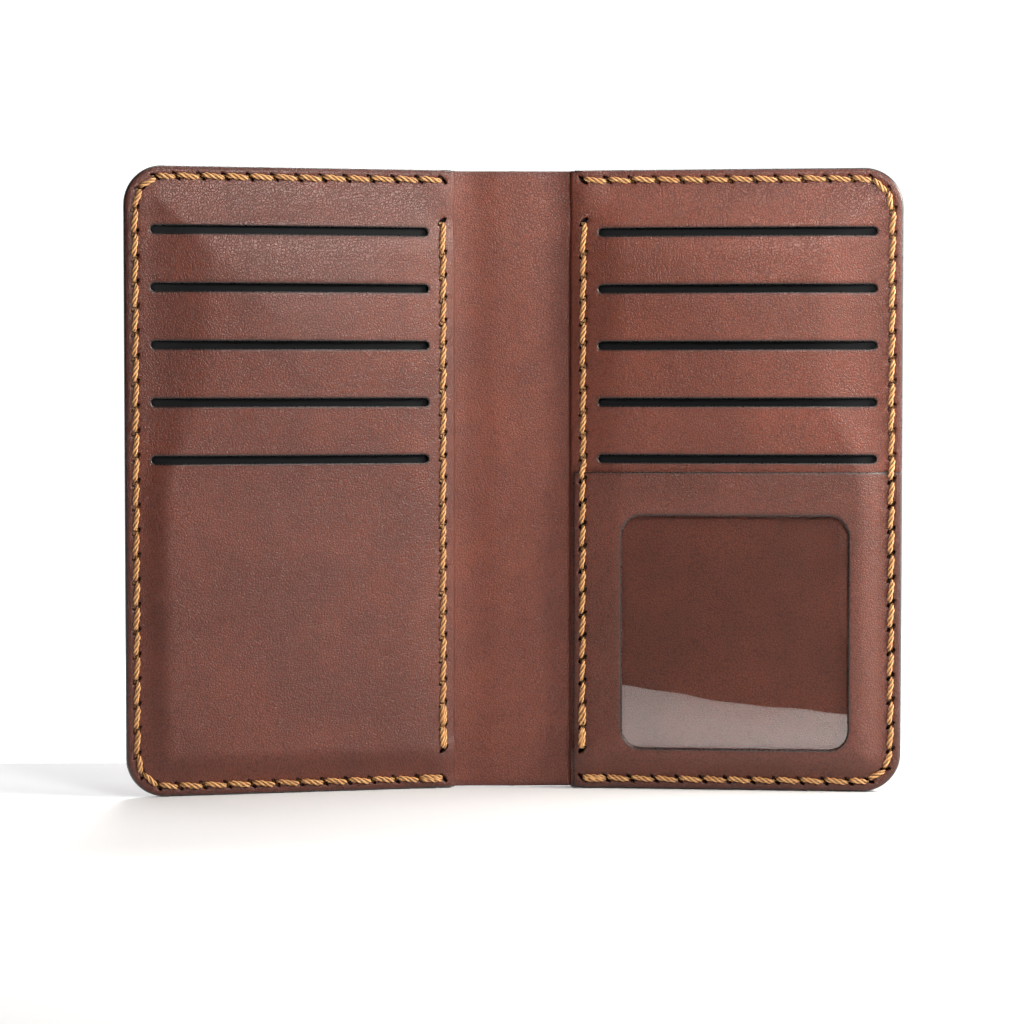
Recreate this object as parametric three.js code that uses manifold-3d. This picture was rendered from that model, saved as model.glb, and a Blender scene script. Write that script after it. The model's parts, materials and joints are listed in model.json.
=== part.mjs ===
// Long bifold card wallet in brown leather, standing open on its lower edge.
// Millimetres. +Z is up, +X is to the right, and -Y is towards the person who reads it.
// Origin: middle of the spine's lower edge, in the middle of the leather's thickness.
//
// Each side of the wallet is a stack of flat layers that folds about a vertical crease. A side
// is drawn in its own frame: x runs from the crease to the outer edge, z is height, and "depth"
// is measured from the middle of the cover leather towards the reader, which is local -Y.

import * as THREE from 'three';
import { mergeVertices } from 'three/addons/utils/BufferGeometryUtils.js';
import Module from 'manifold-3d';

const wasm = await Module();
wasm.setup();

// Driving dimensions
const HEIGHT = 198;
const INNER_WIDTH = 105.5; // inner panel, from its hem to the outer edge
const HEM_SETBACK = 2; // from the crease to the hem of the inner panel
const CREASE_SPACING = 34; // between the two creases beside the spine
const LEFT_LEAN = 13; // degrees that the left side comes forward from flat
const RIGHT_LEAN = 7.5;
const CORNER_RADIUS = 12.5;
const COVER_THICKNESS = 1.6;
const PANEL_THICKNESS = 1;
const CLOTH_THICKNESS = 0.2; // lining, and the film of the window
const AIR = 0.3; // between neighbouring pieces

// Card slots
const SLOT_COUNT = 5;
const SLOT_LENGTH = 88; // takes a card 85.6 mm wide
const SLOT_WIDTH = 2.4;
const SLOT_PITCH = 18;
const TOP_SLOT_DROP = 20.1; // from the top edge to the middle of the first slot
const SLOT_SETBACK = 9.2; // from the hem to the end of a slot

// Cloth pouch behind each slot
const POUCH_DEPTH = 44; // below its slot
const POUCH_TAB = 5; // above its slot, where the back ply is glued to the panel
const POUCH_MARGIN = 0.7; // past each end of the slot
const PLY = 0.15;
const POUCH_THICKNESS = 0.6;
const POUCH_STEP = 0.75; // each pouch lies this much nearer the reader than the one above it

// Relief of the inner panels: pressed flat at the sewn border, raised over the pouches
const BORDER = 4.4;
const RAMP = 3;
const RAISED_RADIUS = 6; // outer corners of the raised area

// ID pocket over the lower part of the right panel
const ID_POCKET_TOP = 101.8;
const ID_POCKET_INSET = 1.1; // from the hem of the panel under it
const WINDOW_WIDTH = 71.7;
const WINDOW_HEIGHT = 74.2;
const WINDOW_BOTTOM = 13.6;
const WINDOW_RADIUS = 6.3;
const FILM_MARGIN = 4; // film past the sides and the foot of the window
const FILM_TOP = 98;

// Hem of each inner panel, folded back behind itself
const HEM_WIDTH = 7;
const HEM_INSET = 4.2; // from the hem's edge to its seam
const HEM_SEAM_BOTTOM = 13;
const HEM_SEAM_TOP = HEIGHT - 17;
const HEM_PEG_COUNT = 5;

// Seams
const SEAM_INSET = 3.4;
const THREAD_WIDTH = 1.2;
const THREAD_HEIGHT = 0.6;
const PEG_RADIUS = 0.45; // thread where it passes through the leather
const PEG_HOLE_RADIUS = 0.8;

// Worked out from the driving dimensions
const OUTER_EDGE = HEM_SETBACK + INNER_WIDTH;
const COVER_FACE = COVER_THICKNESS / 2;
const LINING_BACK = COVER_FACE + AIR;
const BORDER_BACK = LINING_BACK + CLOTH_THICKNESS + AIR;
const BORDER_FACE = BORDER_BACK + PANEL_THICKNESS;
const POUCH_RISE = POUCH_STEP * (POUCH_DEPTH + POUCH_TAB) / SLOT_PITCH;
const RAISE = POUCH_RISE + POUCH_THICKNESS + AIR;
const RAISED_BACK = BORDER_BACK + RAISE;
const RAISED_FACE = BORDER_FACE + RAISE;
const FILM_BACK = RAISED_FACE + AIR;
const ID_RAISE = RAISE + AIR + CLOTH_THICKNESS;
const ID_BORDER_BACK = BORDER_FACE + AIR;
const ID_BORDER_FACE = ID_BORDER_BACK + PANEL_THICKNESS;
const ID_RAISED_FACE = ID_BORDER_FACE + ID_RAISE;
const RAISED_EDGE = BORDER + RAMP;
const SLOT_START = HEM_SETBACK + SLOT_SETBACK;
const HEM_SEAM_X = HEM_SETBACK + HEM_INSET;
const ROUND_STEPS = 6;
const FAR = 60; // larger than any depth, for cutting tools

const leather = new THREE.MeshStandardMaterial({ color: 0x8a5644, roughness: 0.52, metalness: 0 });
const cloth = new THREE.MeshStandardMaterial({ color: 0x0d0d0e, roughness: 0.9, metalness: 0 });
const thread = new THREE.MeshStandardMaterial({ color: 0xb98a4e, roughness: 0.55, metalness: 0 });
const film = new THREE.MeshStandardMaterial({
  color: 0xe8ecee, roughness: 0.08, metalness: 0, transparent: true, opacity: 0.3,
});

// A closed three.js geometry as a manifold solid, ready to be joined and cut.
function solid(geometry) {
  const plain = geometry.clone();
  plain.deleteAttribute('normal');
  plain.deleteAttribute('uv');
  const merged = mergeVertices(plain, 1e-4);
  return new wasm.Manifold(new wasm.Mesh({
    numProp: 3,
    vertProperties: new Float32Array(merged.attributes.position.array),
    triVerts: new Uint32Array(merged.index.array),
  }));
}

// A finished manifold solid as a named mesh with a material of its own.
function piece(name, body, material) {
  const mesh = body.getMesh();
  const geometry = new THREE.BufferGeometry();
  geometry.setAttribute('position', new THREE.BufferAttribute(mesh.vertProperties, 3));
  geometry.setIndex(new THREE.BufferAttribute(mesh.triVerts, 1));
  geometry.computeVertexNormals();
  const result = new THREE.Mesh(geometry, material.clone());
  result.name = name;
  return result;
}

// A flat shape drawn in x and z, as a slab between two depths.
function slab(shape, fromDepth, toDepth) {
  const geometry = new THREE.ExtrudeGeometry(shape, {
    depth: toDepth - fromDepth, bevelEnabled: false, steps: 1, curveSegments: ROUND_STEPS,
  });
  geometry.translate(0, 0, fromDepth);
  geometry.rotateX(Math.PI / 2);
  return solid(geometry);
}

// A rectangle in x and z.
function rectangle(left, right, bottom, top) {
  const shape = new THREE.Shape();
  shape.moveTo(left, bottom);
  shape.lineTo(right, bottom);
  shape.lineTo(right, top);
  shape.lineTo(left, top);
  shape.closePath();
  return shape;
}

// A rectangle whose four corners are round. A stadium is one whose radius is half its height.
function roundedRectangle(left, right, bottom, top, radius) {
  const shape = new THREE.Shape();
  shape.absarc(right - radius, bottom + radius, radius, -Math.PI / 2, 0, false);
  shape.absarc(right - radius, top - radius, radius, 0, Math.PI / 2, false);
  shape.absarc(left + radius, top - radius, radius, Math.PI / 2, Math.PI, false);
  shape.absarc(left + radius, bottom + radius, radius, Math.PI, 1.5 * Math.PI, false);
  shape.closePath();
  return shape;
}

// The outline of one side from a straight inner edge to the rounded outer corners.
function sideOutline(innerEdge, inset) {
  const radius = CORNER_RADIUS - inset;
  const centreX = OUTER_EDGE - CORNER_RADIUS;
  const shape = new THREE.Shape();
  shape.moveTo(innerEdge, inset);
  shape.lineTo(centreX, inset);
  shape.absarc(centreX, CORNER_RADIUS, radius, -Math.PI / 2, 0, false);
  shape.absarc(centreX, HEIGHT - CORNER_RADIUS, radius, 0, Math.PI / 2, false);
  shape.lineTo(innerEdge, HEIGHT - inset);
  shape.closePath();
  return shape;
}

// Everything behind a surface that is flat at the sewn border and raised over the pouches.
function behindRelief(borderDepth, raise) {
  const right = OUTER_EDGE - RAISED_EDGE;
  const top = HEIGHT - RAISED_EDGE;
  const plateau = roundedRectangle(-FAR, right, RAISED_EDGE, top, RAISED_RADIUS);
  const geometry = new THREE.ExtrudeGeometry(plateau, {
    depth: FAR,
    bevelThickness: raise,
    bevelSize: RAMP,
    bevelSegments: 1,
    steps: 1,
    curveSegments: ROUND_STEPS,
  });
  geometry.translate(0, 0, borderDepth - FAR);
  geometry.rotateX(Math.PI / 2);
  const border = slab(rectangle(-FAR, 2 * INNER_WIDTH, -FAR, HEIGHT + FAR), -FAR, borderDepth);
  return solid(geometry).add(border);
}

// A sheet of panel leather that follows the relief.
function reliefSheet(backDepth, raise) {
  const face = behindRelief(backDepth + PANEL_THICKNESS, raise);
  return face.subtract(behindRelief(backDepth, raise));
}

// Places where each seam's thread passes through the leather.
const edgeSeamPegs = [
  [22, SEAM_INSET], [72, SEAM_INSET],
  [OUTER_EDGE - SEAM_INSET, 24], [OUTER_EDGE - SEAM_INSET, 76],
  [OUTER_EDGE - SEAM_INSET, 124], [OUTER_EDGE - SEAM_INSET, 172],
  [72, HEIGHT - SEAM_INSET], [22, HEIGHT - SEAM_INSET],
];
const hemSeamPegs = Array.from({ length: HEM_PEG_COUNT }, (unused, i) => {
  const share = (i + 0.5) / HEM_PEG_COUNT;
  return [HEM_SEAM_X, THREE.MathUtils.lerp(HEM_SEAM_BOTTOM, HEM_SEAM_TOP, share)];
});

// Round pegs of thread, or the holes for them, between two depths.
function pegs(places, radius, fromDepth, toDepth) {
  return places.map(([x, z]) => {
    const geometry = new THREE.CylinderGeometry(radius, radius, toDepth - fromDepth, 8);
    geometry.translate(x, -(fromDepth + toDepth) / 2, z);
    return solid(geometry);
  });
}

function cutAll(body, tools) {
  return tools.reduce((result, tool) => result.subtract(tool), body);
}

function joinAll(bodies) {
  return bodies.reduce((result, body) => result.add(body));
}

function edgeSeamHoles() {
  return pegs(edgeSeamPegs, PEG_HOLE_RADIUS, -FAR, FAR);
}

function slotHeight(index) {
  return HEIGHT - TOP_SLOT_DROP - index * SLOT_PITCH;
}

// Cover leather of one side, from just past the rounded edge of the spine.
function coverSide(name) {
  const innerEdge = COVER_FACE + AIR;
  const body = slab(sideOutline(innerEdge, 0), -COVER_FACE, COVER_FACE);
  return piece(name, cutAll(body, edgeSeamHoles()), leather);
}

// Cover leather of the spine. Its two long edges are rounded about the creases.
function coverSpine() {
  const reach = CREASE_SPACING / 2;
  const section = new THREE.Shape();
  section.absarc(reach, 0, COVER_FACE, -Math.PI / 2, Math.PI / 2, false);
  section.absarc(-reach, 0, COVER_FACE, Math.PI / 2, 1.5 * Math.PI, false);
  section.closePath();
  const geometry = new THREE.ExtrudeGeometry(section, {
    depth: HEIGHT, bevelEnabled: false, steps: 1, curveSegments: ROUND_STEPS,
  });
  return piece('outer_cover_spine', solid(geometry), leather);
}

// Black cloth that lines the note pocket, glued to the cover.
function lining(name) {
  const shape = sideOutline(HEM_SETBACK + ID_POCKET_INSET, AIR);
  const body = slab(shape, LINING_BACK, LINING_BACK + CLOTH_THICKNESS);
  return piece(name, cutAll(body, edgeSeamHoles()), cloth);
}

// Inner leather panel with its card slots and its hem.
function innerPanel(name) {
  const sheet = reliefSheet(BORDER_BACK, RAISE);
  const outline = slab(sideOutline(HEM_SETBACK, 0), -FAR, FAR);
  const hemShape = rectangle(HEM_SETBACK, HEM_SETBACK + HEM_WIDTH, RAISED_EDGE, HEIGHT - RAISED_EDGE);
  const hem = slab(hemShape, RAISED_BACK - PANEL_THICKNESS, RAISED_BACK + PANEL_THICKNESS / 2);
  const slots = Array.from({ length: SLOT_COUNT }, (unused, index) => {
    const middle = slotHeight(index);
    const half = SLOT_WIDTH / 2;
    const shape = roundedRectangle(SLOT_START, SLOT_START + SLOT_LENGTH, middle - half, middle + half, half);
    return slab(shape, -FAR, FAR);
  });
  const holes = [...edgeSeamHoles(), ...pegs(hemSeamPegs, PEG_HOLE_RADIUS, -FAR, FAR)];
  return piece(name, cutAll(sheet.intersect(outline).add(hem), [...slots, ...holes]), leather);
}

// Flat cloth envelope for one card. Its front ply stops below the slot, so that a card can
// go in, and its back ply goes on up to where it is glued above the slot.
function cardPouch(name, index) {
  const width = SLOT_LENGTH + 2 * POUCH_MARGIN;
  const height = POUCH_DEPTH + POUCH_TAB;
  const middle = POUCH_THICKNESS / 2;
  const mouth = POUCH_DEPTH - SLOT_WIDTH;
  const envelope = slab(rectangle(0, width, 0, height), -middle, middle);
  const hollow = slab(rectangle(PLY, width - PLY, PLY, height + 1), PLY - middle, middle - PLY);
  const opening = slab(rectangle(-1, width + 1, mouth, height + 1), PLY - middle, FAR);
  const pouch = piece(name, cutAll(envelope, [hollow, opening]), cloth);
  const backDepth = LINING_BACK + CLOTH_THICKNESS + AIR;
  pouch.rotation.x = Math.atan2(POUCH_RISE, height);
  pouch.position.set(SLOT_START - POUCH_MARGIN, -(backDepth + middle), slotHeight(index) - POUCH_DEPTH);
  return pouch;
}

// Leather frame of the ID pocket, sewn on over the lower part of the right panel.
function idPocketFrame() {
  const innerEdge = HEM_SETBACK + ID_POCKET_INSET;
  const sheet = reliefSheet(ID_BORDER_BACK, ID_RAISE);
  const lowerPart = slab(rectangle(innerEdge, OUTER_EDGE, 0, ID_POCKET_TOP), -FAR, FAR);
  const outline = slab(sideOutline(innerEdge, 0), -FAR, FAR).intersect(lowerPart);
  const windowLeft = HEM_SETBACK + (INNER_WIDTH - WINDOW_WIDTH) / 2;
  const windowShape = roundedRectangle(
    windowLeft, windowLeft + WINDOW_WIDTH, WINDOW_BOTTOM, WINDOW_BOTTOM + WINDOW_HEIGHT, WINDOW_RADIUS,
  );
  const holes = [...edgeSeamHoles(), ...pegs(hemSeamPegs, PEG_HOLE_RADIUS, -FAR, FAR)];
  const body = cutAll(sheet.intersect(outline), [slab(windowShape, -FAR, FAR), ...holes]);
  return piece('id_pocket_frame', body, leather);
}

// Clear film between the ID frame and the panel.
function idWindowFilm() {
  const left = HEM_SETBACK + (INNER_WIDTH - WINDOW_WIDTH) / 2 - FILM_MARGIN;
  const right = left + WINDOW_WIDTH + 2 * FILM_MARGIN;
  const shape = rectangle(left, right, WINDOW_BOTTOM - FILM_MARGIN, FILM_TOP);
  return piece('id_window_film', slab(shape, FILM_BACK, FILM_BACK + CLOTH_THICKNESS), film);
}

// Outline of the outer seam: a C along the top, the outer side and the bottom.
function edgeSeamShape() {
  const half = THREAD_WIDTH / 2;
  const centreX = OUTER_EDGE - CORNER_RADIUS;
  const middle = CORNER_RADIUS - SEAM_INSET;
  const quarter = Math.PI / 2;
  const shape = new THREE.Shape();
  shape.moveTo(HEM_SEAM_X, SEAM_INSET - half);
  shape.lineTo(centreX, SEAM_INSET - half);
  shape.absarc(centreX, CORNER_RADIUS, middle + half, -quarter, 0, false);
  shape.absarc(centreX, HEIGHT - CORNER_RADIUS, middle + half, 0, quarter, false);
  shape.lineTo(HEM_SEAM_X, HEIGHT - SEAM_INSET + half);
  shape.lineTo(HEM_SEAM_X, HEIGHT - SEAM_INSET - half);
  shape.absarc(centreX, HEIGHT - CORNER_RADIUS, middle - half, quarter, 0, true);
  shape.absarc(centreX, CORNER_RADIUS, middle - half, 0, -quarter, true);
  shape.lineTo(HEM_SEAM_X, SEAM_INSET + half);
  shape.closePath();
  return shape;
}

// A line of thread on the front. Where the ID pocket lies under it, it climbs over the frame.
function frontThread(shape, lowFace, highFace, overPocket) {
  const low = slab(shape, lowFace + AIR, lowFace + AIR + THREAD_HEIGHT);
  if (!overPocket) {
    return low;
  }
  const high = slab(shape, highFace + AIR, highFace + AIR + THREAD_HEIGHT);
  const climb = slab(shape, lowFace + AIR, highFace + AIR + THREAD_HEIGHT);
  const clearTop = ID_POCKET_TOP + AIR;
  const climbTop = clearTop + THREAD_WIDTH;
  const above = slab(rectangle(0, OUTER_EDGE, clearTop, HEIGHT), -FAR, FAR);
  const below = slab(rectangle(0, OUTER_EDGE, 0, climbTop), -FAR, FAR);
  return joinAll([low.intersect(above), high.intersect(below), climb.intersect(above).intersect(below)]);
}

// Thread that passes through the leather, from behind up to the line of thread on the front.
function threadJoins(places, from, lowFace, highFace, overPocket) {
  return places.flatMap(([x, z]) => {
    const face = overPocket && z < ID_POCKET_TOP ? highFace : lowFace;
    return pegs([[x, z]], PEG_RADIUS, from, face + AIR + THREAD_HEIGHT / 2);
  });
}

// Thread of the outer seam: one line on each face, joined through the leather.
function edgeSeamThread(name, overPocket) {
  const shape = edgeSeamShape();
  const front = frontThread(shape, BORDER_FACE, ID_BORDER_FACE, overPocket);
  const back = slab(shape, -COVER_FACE - AIR - THREAD_HEIGHT, -COVER_FACE - AIR);
  const from = -COVER_FACE - AIR - THREAD_HEIGHT / 2;
  const joins = threadJoins(edgeSeamPegs, from, BORDER_FACE, ID_BORDER_FACE, overPocket);
  return piece(name, joinAll([front, back, ...joins]), thread);
}

// Thread of the hem seam: it holds the hem down, and on the right the ID pocket too.
function hemSeamThread(name, overPocket) {
  const half = THREAD_WIDTH / 2;
  const shape = rectangle(HEM_SEAM_X - half, HEM_SEAM_X + half, HEM_SEAM_BOTTOM, HEM_SEAM_TOP);
  const front = frontThread(shape, RAISED_FACE, ID_RAISED_FACE, overPocket);
  const hemBack = RAISED_BACK - PANEL_THICKNESS;
  const back = slab(shape, hemBack - AIR - THREAD_HEIGHT, hemBack - AIR);
  const from = hemBack - AIR - THREAD_HEIGHT / 2;
  const joins = threadJoins(hemSeamPegs, from, RAISED_FACE, ID_RAISED_FACE, overPocket);
  return piece(name, joinAll([front, back, ...joins]), thread);
}

// Everything that moves with one side of the wallet.
function buildSide(side, hasIdPocket) {
  const group = new THREE.Group();
  group.add(coverSide(`outer_cover_${side}`));
  group.add(lining(`lining_${side}`));
  group.add(innerPanel(`inner_panel_${side}`));
  for (let index = 0; index < SLOT_COUNT; index += 1) {
    group.add(cardPouch(`card_pouch_${side}_${index + 1}`, index));
  }
  if (hasIdPocket) {
    group.add(idPocketFrame());
    group.add(idWindowFilm());
  }
  group.add(edgeSeamThread(`seam_thread_${side}_outer`, hasIdPocket));
  group.add(hemSeamThread(`seam_thread_${side}_inner`, hasIdPocket));
  return group;
}

const group = new THREE.Group();
group.add(coverSpine());

const left = buildSide('left', false);
left.position.x = -CREASE_SPACING / 2;
left.rotation.z = THREE.MathUtils.degToRad(LEFT_LEAN);
left.scale.x = -1;
group.add(left);

const right = buildSide('right', true);
right.position.x = CREASE_SPACING / 2;
right.rotation.z = -THREE.MathUtils.degToRad(RIGHT_LEAN);
group.add(right);

export default group;
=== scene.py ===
"""Looks of the long bifold wallet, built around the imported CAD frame.

Each side of the wallet is drawn in its own frame, in millimetres: x runs from the crease to the
outer edge, z is height, and depth runs from the middle of the cover leather to the reader.
place() turns that into the row frame, in metres.
"""

import json
import math

import bpy
import numpy as np
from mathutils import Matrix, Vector
from mathutils.geometry import delaunay_2d_cdt

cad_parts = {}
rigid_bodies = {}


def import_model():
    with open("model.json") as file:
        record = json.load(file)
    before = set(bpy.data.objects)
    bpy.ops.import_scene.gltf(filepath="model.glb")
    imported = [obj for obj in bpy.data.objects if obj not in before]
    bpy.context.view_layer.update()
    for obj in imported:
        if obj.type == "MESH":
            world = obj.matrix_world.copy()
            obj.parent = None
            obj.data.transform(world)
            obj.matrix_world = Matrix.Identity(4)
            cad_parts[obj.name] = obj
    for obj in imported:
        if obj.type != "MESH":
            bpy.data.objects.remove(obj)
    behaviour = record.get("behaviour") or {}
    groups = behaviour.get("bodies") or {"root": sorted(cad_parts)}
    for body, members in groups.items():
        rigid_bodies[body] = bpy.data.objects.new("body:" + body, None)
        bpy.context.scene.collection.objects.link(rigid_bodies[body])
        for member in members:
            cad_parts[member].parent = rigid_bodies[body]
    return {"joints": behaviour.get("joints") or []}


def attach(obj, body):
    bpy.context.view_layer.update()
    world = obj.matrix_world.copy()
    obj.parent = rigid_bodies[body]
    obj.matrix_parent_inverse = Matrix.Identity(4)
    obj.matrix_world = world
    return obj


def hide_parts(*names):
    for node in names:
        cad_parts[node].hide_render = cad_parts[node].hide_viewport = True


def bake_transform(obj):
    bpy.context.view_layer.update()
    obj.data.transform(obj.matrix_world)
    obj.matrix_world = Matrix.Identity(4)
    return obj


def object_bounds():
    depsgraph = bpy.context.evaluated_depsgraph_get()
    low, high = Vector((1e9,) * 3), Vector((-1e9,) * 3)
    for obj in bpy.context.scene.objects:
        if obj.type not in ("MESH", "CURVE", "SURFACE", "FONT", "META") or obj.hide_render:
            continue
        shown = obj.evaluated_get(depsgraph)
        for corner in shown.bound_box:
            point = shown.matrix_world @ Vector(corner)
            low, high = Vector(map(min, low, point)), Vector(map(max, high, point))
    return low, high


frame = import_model()
cad_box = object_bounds()

MM = 0.001
rng = np.random.default_rng(7)

# -------------------------------- sizes, in millimetres
HEIGHT = cad_box[1].z / MM
OUTER_EDGE = 107.5          # crease to outer edge
HEM = 2.0                   # crease to the rolled hem of the inner panel
CORNER = 12.5
COVER_HALF = 0.8            # half the cover leather's thickness
LEATHER = 1.0               # inner leather
BORDER_FACE = 2.6           # face of the inner panel where it is sewn down
PANEL_RISE = 2.6            # how far the panel stands up behind its seam
BULGE = 1.2                 # how much further in the middle of its width
SWELL = 2.0                 # and over the cards' half of its height
HEM_DROP = 1.6              # how far it sinks again towards the hem
HEM_ROLL = 0.8              # and how far its face rolls over at the fold
EDGE_INSET = 0.3            # leather ends this far inside the painted edge
EDGE_ROLL = 0.85            # how far the faces roll down at the painted edge
EDGE_ROLL_WIDTH = 1.9
GLUED_BORDER = (3.9, 5.2)   # layers are glued up to the first, and free from the second
GLUE_LINE = 0.03

SLOT_COUNT = 5
SLOT_LENGTH = 88.0
SLOT_WIDTH = 2.4
SLOT_PITCH = 18.0
TOP_SLOT_DROP = 20.1
SLOT_START = HEM + 9.2

HEM_WIDTH = 7.0
HEM_SEAM_X = HEM + 4.2
HEM_SEAM_TOP = HEIGHT - 16.7
HEM_SEAM_BOTTOM = 12.9
HEM_STITCHES = 22           # besides the longer first one
FIRST_HEM_STITCH = 10.4

SEAM_INSET = 3.4
ROW_STITCHES = 11           # along the top and the bottom
CORNER_STITCHES = 3
COLUMN_STITCHES = 22        # along the outer side
ROW_END = 91.1
COLUMN_END = 13.6
THREAD = 0.88               # radius of the thread
THREAD_PLIES = 3
THREAD_PITCH = 6.6          # one turn of a ply
PLY_SIDES = 7
RINGS_PER_MM = 2.6
PLY_CENTRE = 1.155          # middle of a ply from the middle of the thread, in radii of the ply
SLANT = 0.50                # how far each stitch leans off the seam at its ends
DOUBLE_SHIFT = 0.34         # where two stitches share their holes, each lies this far off the seam
DOUBLE_SLANT = 0.12
SLIT = (1.8, 0.62)          # half the length and half the width of a stitch slit
PRICK_MARK = (0.8, 0.5)     # the same for the dark mark painted in the cover at each hole, as painted shade of the hole
SEAM_DIP = 0.42             # how deep a seam pulls the panel in
SEAM_DIP_WIDTH = 0.75

POCKET_TOP = 101.8
POCKET_LEFT = HEM + 1.1
POCKET_LIFT = 1.1           # face of the ID pocket above the panel's face, where it is sewn down
WINDOW_WIDTH = 71.7
WINDOW_HEIGHT = 74.2
WINDOW_BOTTOM = 13.6
WINDOW_RADIUS = 6.3
WINDOW_LEFT = HEM + (OUTER_EDGE - HEM - WINDOW_WIDTH) / 2
FILM_MARGIN = 4.0
FILM_GAP = 0.73             # film in front of the raised panel
FILM_THICKNESS = 0.12

POUCH_DEPTH = 44.0
POUCH_TAB = 5.0
POUCH_MARGIN = 0.7
POUCH_THICKNESS = 0.1
LINING_BORDER = 6.5         # the cover inside this is lined
CLOTH_PITCH = 0.55          # of the weave
LINING_THICKNESS = 0.12
CREASE_ON_SPINE = -13.0     # where the cover starts to bend, and where it has bent
CREASE_ON_SIDE = 9.0


# -------------------------------- the two sides
class Side:
    """One side of the wallet: its fold joint says where its crease is and how far it leans."""

    def __init__(self, name):
        joint = next(j for j in frame["joints"] if j["name"] == f"{name}_fold")
        self.name = name
        self.body = joint["child"]
        self.spine = joint["parent"]
        self.sign = -1.0 if name == "left" else 1.0
        self.crease = joint["pos_m"][0] / MM
        self.lean = -math.radians(joint["range_deg"][0])
        self.has_pocket = name == "right"


SIDES = [Side("left"), Side("right")]


def smooth(value, low, high):
    """0 below low, 1 above high, and a smooth step between."""
    t = np.clip((np.asarray(value, float) - low) / (high - low), 0, 1)
    return t * t * (3 - 2 * t)


def place(side, x, z, depth, bend=1.0):
    """Points of a side's own frame, in millimetres, as an array of points of the row frame, in metres."""
    x, z, depth, bend = np.broadcast_arrays(*(np.asarray(v, float) for v in (x, z, depth, bend)))
    angle = side.lean * bend
    across = side.crease + side.sign * (x * np.cos(angle) - depth * np.sin(angle))
    along = -(x * np.sin(angle) + depth * np.cos(angle))
    return np.stack([across, along, z], axis=-1) * MM


def inside(x, z):
    """How far a point is inside the outline's top, outer side and bottom, with its round corners."""
    across = np.asarray(x, float) - (OUTER_EDGE - CORNER)
    up = np.abs(np.asarray(z, float) - HEIGHT / 2) - (HEIGHT / 2 - CORNER)
    outside = np.hypot(np.maximum(across, 0), np.maximum(up, 0))
    return CORNER - outside - np.minimum(np.maximum(across, up), 0)


# -------------------------------- outlines
def lengths_along(points):
    """Length of an open line up to each of its points."""
    return np.r_[0, np.cumsum(np.linalg.norm(np.diff(points, axis=0), axis=1))]


def points_at(points, at):
    """Points of an open line at the given lengths along it."""
    lengths = lengths_along(points)
    return np.stack([np.interp(at, lengths, column) for column in points.T], axis=1)


def resample(points, step):
    """The same open line with points every step or a little less."""
    points = np.asarray(points, float)
    length = lengths_along(points)[-1]
    return points_at(points, np.linspace(0, length, max(2, int(math.ceil(length / step)) + 1)))


def arc(centre, radius, start, stop, steps):
    """Part of a circle, from start to stop in degrees."""
    angles = np.radians(np.linspace(start, stop, steps + 1))
    return np.stack([centre[0] + radius * np.cos(angles), centre[1] + radius * np.sin(angles)], axis=1)


def open_edge(left, inset, top=None):
    """The line along the bottom, the outer side and the top of a side, inset from its edge.

    With top, the line ends at that height on the outer side."""
    radius = CORNER - inset
    corner = OUTER_EDGE - CORNER
    bottom = [resample([[left, inset], [corner, inset]], 1.5), arc((corner, CORNER), radius, -90, 0, 14)[1:]]
    if top is not None:
        wall = resample([[OUTER_EDGE - inset, CORNER], [OUTER_EDGE - inset, top]], 1.5)[1:]
        return np.concatenate([*bottom, wall])
    wall = resample([[OUTER_EDGE - inset, CORNER], [OUTER_EDGE - inset, HEIGHT - CORNER]], 1.5)[1:]
    upper = arc((corner, HEIGHT - CORNER), radius, 0, 90, 14)[1:]
    level = resample([[corner, HEIGHT - inset], [left, HEIGHT - inset]], 1.5)[1:]
    return np.concatenate([*bottom, wall, upper, level])


def closed_outline(left, inset, top=None):
    """The whole outline of a sheet, anticlockwise, with its straight inner edge at left.

    With top, it turns back level at that height."""
    line = open_edge(left, inset, top)
    if top is not None:
        line = np.concatenate([line, resample([line[-1], [left, top]], 1.5)[1:]])
    return np.concatenate([line, resample([line[-1], line[0]], 1.5)[1:-1]])


def rounded_loop(left, right, bottom, top, radius, step, corner_steps):
    """A rectangle with round corners, anticlockwise."""
    corners = [
        arc((right - radius, bottom + radius), radius, -90, 0, corner_steps),
        arc((right - radius, top - radius), radius, 0, 90, corner_steps),
        arc((left + radius, top - radius), radius, 90, 180, corner_steps),
        arc((left + radius, bottom + radius), radius, 180, 270, corner_steps),
    ]
    pieces = []
    for here, after in zip(corners, corners[1:] + corners[:1], strict=True):
        pieces.append(here)
        if np.linalg.norm(after[0] - here[-1]) > step:
            pieces.append(resample([here[-1], after[0]], step)[1:-1])
    loop = np.concatenate(pieces)
    gap = np.linalg.norm(loop - np.roll(loop, 1, axis=0), axis=1)
    return loop[gap > 1e-6]


def slot_height(index):
    return HEIGHT - TOP_SLOT_DROP - index * SLOT_PITCH


def slot_loops():
    half = SLOT_WIDTH / 2
    ends = (SLOT_START, SLOT_START + SLOT_LENGTH)
    heights = [slot_height(index) for index in range(SLOT_COUNT)]
    return [rounded_loop(*ends, z - half, z + half, half, 2.0, 5) for z in heights]


def window_loop():
    return rounded_loop(
        WINDOW_LEFT, WINDOW_LEFT + WINDOW_WIDTH, WINDOW_BOTTOM, WINDOW_BOTTOM + WINDOW_HEIGHT,
        WINDOW_RADIUS, 1.5, 8,
    )


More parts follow.
